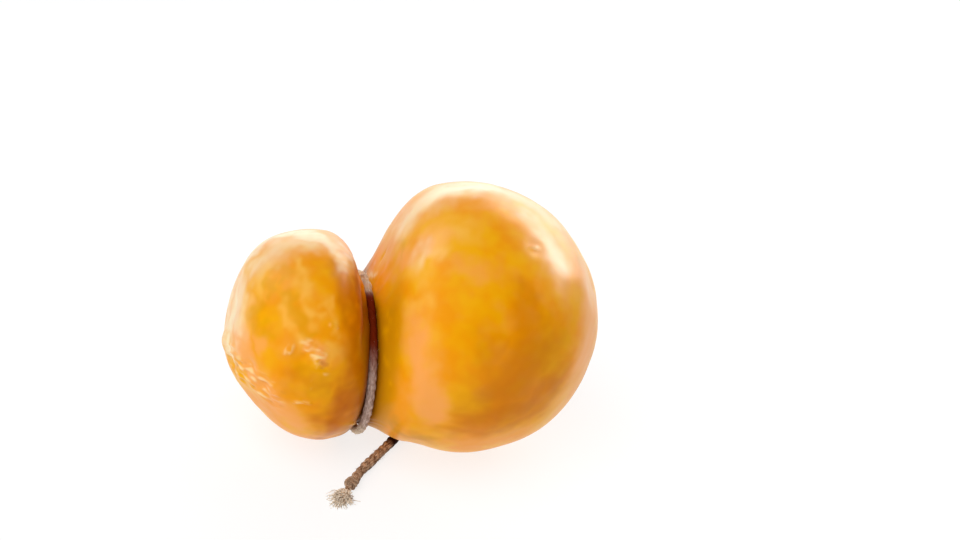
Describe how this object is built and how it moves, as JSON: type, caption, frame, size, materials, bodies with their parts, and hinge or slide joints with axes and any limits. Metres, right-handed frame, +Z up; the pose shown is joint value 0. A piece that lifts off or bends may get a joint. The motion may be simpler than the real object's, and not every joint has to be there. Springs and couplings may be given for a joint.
{
  "type": "smoked scamorza",
  "caption": "Smoked scamorza cheese, an amber pear-like form with a large round body and a smaller craggy head, tied at the neck with twine that ends in a frayed tail.",
  "frame": {"origin": "middle of the cheese's box at the height of the table it rests on", "axes": "+X along the cheese from its small head to its large ball, -Y towards the free end of the twine, +Z up"},
  "size_m": [0.1107, 0.0829, 0.0794],
  "materials": {
    "smoked_rind": "smooth, slightly oily smoked cheese rind, mottled amber",
    "neck_twine": "greasy grey-brown natural twine",
    "tail_twine": "dry brown natural twine",
    "frayed_twine": "pale frayed fibres"
  },
  "bodies": {
    "root": {"cheese": "smoked_rind", "neck_twine": "neck_twine", "neck_knot": "neck_twine", "tail_twine": "tail_twine", "tail_end": "frayed_twine"}
  },
  "joints": []
}
